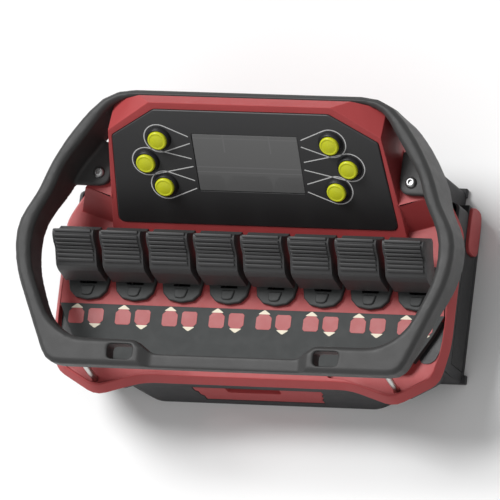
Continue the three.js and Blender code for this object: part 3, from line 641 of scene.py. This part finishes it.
class STATION_OT_levers(bpy.types.Operator):
    """Ribbed paddles, with the stem, the hub and the dust shield of each"""

    bl_idname = "station.levers"
    bl_label = "Levers"

    # Side view about the pivot, as (Y, Z) in millimetres: neck, face, crest, back and underside
    outline = [
        (-0.5, 25.2), (-7.8, 25.2), (-9.4, 27.2), (-7.9, 34.5), (-5.8, 46.8), (-3.2, 52.6), (1.4, 55.4),
        (9.3, 59.7), (13.4, 65.8), (17.8, 69.8), (21.4, 70.4), (23.0, 69.0), (24.0, 64.0), (26.6, 55.6),
        (29.8, 52.0), (28.0, 48.0), (17.0, 43.0), (8.0, 37.0), (3.4, 32.0),
    ]
    face = outline[6:11]  # the ribbed part, up to the crest

    def execute(self, context):
        sizes = context.scene.station_sizes
        for label, pivot in lever_sites():
            node = f"lever_{label}"
            low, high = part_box(node)
            half = (high.x - low.x) / 2 - 0.05 * MM
            bm = bmesh.new()
            self.paddle(bm, half)
            self.ribs(bm, half, sizes)
            self.stem(bm)
            place(bm, Matrix.Translation(pivot))
            made = piece(f"paddle_{label}", bm, f"{node}_body", "paddle", [node])
            soften(made.data, 38)
            self.shield(label, pivot, f"{node}_body")
        return {"FINISHED"}

    def paddle(self, bm, half):
        face = outline_face(bm, [(-half, y * MM, z * MM) for y, z in self.outline])
        thicken(bm, face, (2 * half, 0, 0))
        across = [edge for edge in bm.edges if abs(edge.verts[0].co.x - edge.verts[1].co.x) > half]
        bevel(bm, across, 3.0 * MM, 5)
        ends = [edge for edge in bm.edges if any(len(link.verts) > 8 for link in edge.link_faces)]
        bevel(bm, ends, 0.7 * MM, 3)

    def ribs(self, bm, half, sizes):
        """Ridges laid across the paddle at even steps along its face."""
        points = [Vector((0, y * MM, z * MM)) for y, z in self.face]
        lengths = [(b - a).length for a, b in zip(points, points[1:])]
        step = sum(lengths) / (sizes.rib_count - 1)
        for number in range(sizes.rib_count):
            along = number * step * 0.999
            for start, end, length in zip(points, points[1:], lengths):
                if along <= length:
                    break
                along -= length
            at = start.lerp(end, along / length)
            run = (end - start).normalized()
            out = Vector((0, -run.z, run.y))
            made = bmesh.ops.create_cube(bm, size=1.0)
            verts = made["verts"]
            shape = (2 * (half - sizes.rib_margin), sizes.rib_width, 2 * sizes.rib_height)
            bmesh.ops.scale(bm, verts=verts, vec=shape)
            turn = Matrix((Vector((1, 0, 0)), run, out)).transposed().to_4x4()
            bmesh.ops.transform(bm, matrix=Matrix.Translation(at) @ turn, verts=verts)
            edges = {edge for vert in verts for edge in vert.link_edges}
            bevel(bm, edges, min(sizes.rib_width, sizes.rib_height) * 0.42, 3)

    def stem(self, bm):
        made = bmesh.ops.create_cube(bm, size=1.0)
        bmesh.ops.scale(bm, verts=made["verts"], vec=Vector((11.8, 6.8, 25.0)) * MM)
        bmesh.ops.translate(bm, verts=made["verts"], vec=(0, 0, 17.5 * MM))
        bevel(bm, {edge for vert in made["verts"] for edge in vert.link_edges}, 0.8 * MM, 2)
        hub = bmesh.new()
        profile = [(4.3, -5.9), (7.0, -5.9), (7.4, -5.4), (7.4, 5.4), (7.0, 5.9), (4.3, 5.9), (4.3, -5.9)]
        spun(hub, [(radius * MM, height * MM) for radius, height in profile], 40)
        place(hub, Matrix.Rotation(math.pi / 2, 4, "Y"))
        joined = bpy.data.meshes.new("hub")
        hub.to_mesh(joined)
        hub.free()
        bm.from_mesh(joined)
        bpy.data.meshes.remove(joined)

    def shield(self, label, pivot, body, radius=9.6 * MM, half=6.6 * MM, half_sweep=62):
        """Curved cover under the boot's opening, which turns with the lever."""
        bm = bmesh.new()
        ends = [bm.verts.new((x, 0, radius)) for x in (-half, half)]
        edge = bm.edges.new(ends)
        turn = Matrix.Rotation(math.radians(-half_sweep), 3, "X")
        bmesh.ops.rotate(bm, verts=ends, cent=(0, 0, 0), matrix=turn)
        sweep = math.radians(2 * half_sweep)
        bmesh.ops.spin(bm, geom=ends + [edge], cent=(0, 0, 0), axis=(1, 0, 0), angle=sweep, steps=24)
        bmesh.ops.recalc_face_normals(bm, faces=bm.faces)
        bmesh.ops.solidify(bm, geom=bm.faces[:], thickness=0.8 * MM)
        bmesh.ops.recalc_face_normals(bm, faces=bm.faces)
        place(bm, Matrix.Translation(pivot))
        made = piece(f"dust_shield_{label}", bm, body, "rubber")
        soften(made.data, 30)


class STATION_OT_boots(bpy.types.Operator):
    """Boots round the foot of each lever"""

    bl_idname = "station.boots"
    bl_label = "Boots"

    def execute(self, context):
        for label, _ in lever_sites():
            rounded(f"lever_boot_{label}", f"boot_{label}", "boot", 0.35 * MM, 2, 28, slot="lever_black")
        return {"FINISHED"}


class STATION_OT_label(bpy.types.Operator):
    """Label plate, with a field and an arrow for each way that a lever moves"""

    bl_idname = "station.label"
    bl_label = "Label plate"

    field_margin = 3.8 * MM  # from the top edge of the label plate
    field_offset = 8.3 * MM  # to each side of a lever
    field_corner = 1.5 * MM
    field_cut = 3.0 * MM
    # One arrow, in millimetres, pointing up
    arrow = [(-5.0, 0.5), (5.0, 0.5), (4.6, 1.1), (0.6, 3.9), (-0.6, 3.9), (-4.6, 1.1)]

    def execute(self, context):
        sizes = context.scene.station_sizes
        rounded("label_plate", "label", "label", 0.2 * MM, slot="label_film")
        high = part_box("label_plate")[1]
        half, tall = sizes.window_width / 2, sizes.window_height
        upper = high.y - self.field_margin
        for label, pivot in lever_sites():
            for name, side, up in (("up", -1, 1), ("down", 1, -1)):
                x = pivot.x + side * self.field_offset
                centre = Vector((x, upper - tall / 2, high.z))
                corner, cut = self.field_corner, self.field_cut
                field = [
                    (-half, -tall / 2 + corner), (-half + corner, -tall / 2),
                    (half - corner, -tall / 2), (half, -tall / 2 + corner),
                    (half, tall / 2 - cut), (half - cut, tall / 2),
                    (-half + cut, tall / 2), (-half, tall / 2 - cut),
                ]
                titled = f"{name}_{label}"
                self.plate(f"field_{titled}", field, centre, up, 0.18 * MM, "window", "housing_red")
                arrow = [(x * MM, y * MM) for x, y in self.arrow]
                base = centre + Vector((0, up * (tall / 2 - 0.6 * MM), 0.04 * MM))
                self.plate(f"arrow_{titled}", arrow, base, up, 0.22 * MM, "cream", "label_film")
        return {"FINISHED"}

    def plate(self, name, points, centre, up, thickness, look, slot):
        bm = bmesh.new()
        face = outline_face(bm, [(x, up * y, 0) for x, y in points])
        thicken(bm, face, (0, 0, thickness))
        top = [edge for edge in bm.edges if all(vert.co.z > thickness / 2 for vert in edge.verts)]
        bevel(bm, top, thickness * 0.4, 2)
        place(bm, Matrix.Translation(centre))
        piece(name, bm, ROOT, look)


class STATION_OT_side_labels(bpy.types.Operator):
    """Black plates in the sunk corners, where the label plate wraps down the deck; their near-black is also
    painted shade for these shaded corners
    """

    bl_idname = "station.side_labels"
    bl_label = "Corner plates"

    # From the back outer end of the label plate, in millimetres: along X and towards the front
    corners = [
        (-0.7, 3.4), (-3.4, 3.8), (-9.0, 15.5), (-19.5, 34.0), (-16.0, 38.0),
        (-10.0, 38.0), (-5.6, 35.0), (-2.6, 28.0), (-0.9, 16.0),
    ]
    thickness = 0.5 * MM

    def execute(self, context):
        low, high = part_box("label_plate")
        for side, label in ((-1, "left"), (1, "right")):
            bm = bmesh.new()
            level = low.z + 0.05 * MM
            points = [(side * (high.x + x * MM), high.y - y * MM, level) for x, y in self.corners]
            thicken(bm, outline_face(bm, points), (0, 0, self.thickness))
            rise = [(edge, abs(edge.verts[0].co.z - edge.verts[1].co.z)) for edge in bm.edges]
            bevel(bm, [edge for edge, height in rise if height > self.thickness / 2], 2.5 * MM, 4)
            # Painted shade: the plate is near-black, darker than the label plate, for the shade in the sunk
            # corner.
            piece(f"corner_shade_plate_{label}", bm, ROOT, "black")
        return {"FINISHED"}


class STATION_OT_base_parts(bpy.types.Operator):
    """Battery pack, side module and stop button"""

    bl_idname = "station.base_parts"
    bl_label = "Battery and stop button"

    def execute(self, context):
        rounded("battery_pack", "battery", "red", 0.5 * MM, 3, body="battery_pack_body", slot="housing_red")
        # Painted shade: the side module is near-black, darker than the grey base, for the shade on the
        # right-hand wall.
        rounded("side_module", "module", "black", 0.5 * MM, 3, slot="bezel_black")
        rounded("stop_button", "stop", "red", 0.8 * MM, 4, 40, body="stop_button_body", slot="housing_red")
        return {"FINISHED"}


class STATION_OT_inside(bpy.types.Operator):
    """Finishes of the parts inside"""

    bl_idname = "station.inside"
    bl_label = "Inside parts"

    looks = {
        "display_board": "board",
        "main_circuit_board": "board",
        "radio_module": "can",
        "battery_contacts": "brass",
        # Painted shade: the lever carrier is black so that the openings round the levers read as shade.
        "lever_carrier": "black",
        "lever_shaft": "can",
    }

    def execute(self, context):
        looks = dict(self.looks)
        looks.update({f"housing_screw_{i}": "screw" for i in range(1, 5)})
        for node, look in looks.items():
            mesh = frame["nodes"][node].data
            mesh.materials.clear()
            mesh.materials.append(finish(look))
        return {"FINISHED"}


class STATION_OT_stage(bpy.types.Operator):
    """Floor, lights and camera"""

    bl_idname = "station.stage"
    bl_label = "Stage"

    view_right = Vector((0.94008, 0.11547, -0.32080))
    view_up = Vector((-0.03273, 0.96712, 0.25219))
    view_target = Vector((-2.7, 0.76, 79.6)) * MM
    view_width = 0.400  # what the camera takes in across the target

    def execute(self, context):
        scene = context.scene
        bm = bmesh.new()
        bmesh.ops.create_grid(bm, x_segments=1, y_segments=1, size=12.0)
        mesh = bpy.data.meshes.new("floor")
        bm.to_mesh(mesh)
        bm.free()
        mesh.materials.append(finish("floor"))
        floor = bpy.data.objects.new("floor", mesh)
        floor.location.z = -0.0002
        scene.collection.objects.link(floor)

        scene.world = self.sky()
        self.sun("key", (-0.46, 0.34, 0.82), 26, 2.9)
        self.sun("fill", (-0.15, -0.70, 0.70), 60, 0.35)

        back = self.view_right.cross(self.view_up).normalized()
        right = self.view_right.normalized()
        up = back.cross(right)
        camera = bpy.data.cameras.new("camera")
        camera.lens, camera.sensor_width = 1000, 36
        camera.clip_start, camera.clip_end = 0.5, 60
        view = bpy.data.objects.new("camera", camera)
        scene.collection.objects.link(view)
        distance = self.view_width * camera.lens / camera.sensor_width
        turn = Matrix((right, up, back)).transposed().to_4x4()
        view.matrix_world = Matrix.Translation(self.view_target + back * distance) @ turn
        scene.camera = view
        scene.view_settings.view_transform = "Standard"
        return {"FINISHED"}

    def sky(self):
        """White overhead, grey towards the floor."""
        world = bpy.data.worlds.new("pale")
        world.use_nodes = True
        nodes, links = world.node_tree.nodes, world.node_tree.links
        place = nodes.new("ShaderNodeTexCoord")
        split = nodes.new("ShaderNodeSeparateXYZ")
        ramp = nodes.new("ShaderNodeMapRange")
        ramp.inputs["From Min"].default_value, ramp.inputs["From Max"].default_value = -0.1, 1.0
        ramp.inputs["To Min"].default_value, ramp.inputs["To Max"].default_value = 0.04, 0.50
        links.new(place.outputs["Generated"], split.inputs["Vector"])
        links.new(split.outputs["Z"], ramp.inputs["Value"])
        links.new(ramp.outputs["Result"], nodes["Background"].inputs["Strength"])
        nodes["Background"].inputs["Color"].default_value = (1, 1, 1, 1)
        return world

    def sun(self, name, direction, width, strength):
        data = bpy.data.lights.new(name, "SUN")
        data.angle, data.energy = math.radians(width), strength
        lamp = bpy.data.objects.new(name, data)
        lamp.location = Vector(direction) * 2
        lamp.rotation_euler = (-Vector(direction)).to_track_quat("-Z", "Y").to_euler()
        lamp.visible_camera = False
        bpy.context.scene.collection.objects.link(lamp)


class STATION_PT_pieces(bpy.types.Panel):
    """Lists the sizes, the colours and the pieces"""

    bl_idname = "STATION_PT_pieces"
    bl_label = "Control station"
    bl_space_type = "VIEW_3D"
    bl_region_type = "UI"
    bl_category = "Station"

    def draw(self, context):
        for group in (context.scene.station_sizes, context.scene.station_colours):
            column = self.layout.column(align=True)
            for key in group.bl_rna.properties.keys():
                if key not in {"rna_type", "name"}:
                    column.prop(group, key)
        for operator in OPERATORS:
            self.layout.operator(operator.bl_idname)


OPERATORS = (
    STATION_OT_stage,
    STATION_OT_housings,
    STATION_OT_guard,
    STATION_OT_panel,
    STATION_OT_buttons,
    STATION_OT_levers,
    STATION_OT_boots,
    STATION_OT_label,
    STATION_OT_side_labels,
    STATION_OT_base_parts,
    STATION_OT_inside,
)
CLASSES = (StationSizes, StationColours, *OPERATORS, STATION_PT_pieces)


def register():
    for made in CLASSES:
        bpy.utils.register_class(made)
    bpy.types.Scene.station_sizes = PointerProperty(type=StationSizes)
    bpy.types.Scene.station_colours = PointerProperty(type=StationColours)


def unregister():
    del bpy.types.Scene.station_colours
    del bpy.types.Scene.station_sizes
    for made in reversed(CLASSES):
        bpy.utils.unregister_class(made)


def main():
    register()
    for operator in OPERATORS:
        group, action = operator.bl_idname.split(".")
        getattr(getattr(bpy.ops, group), action)()


if __name__ == "__main__":
    main()
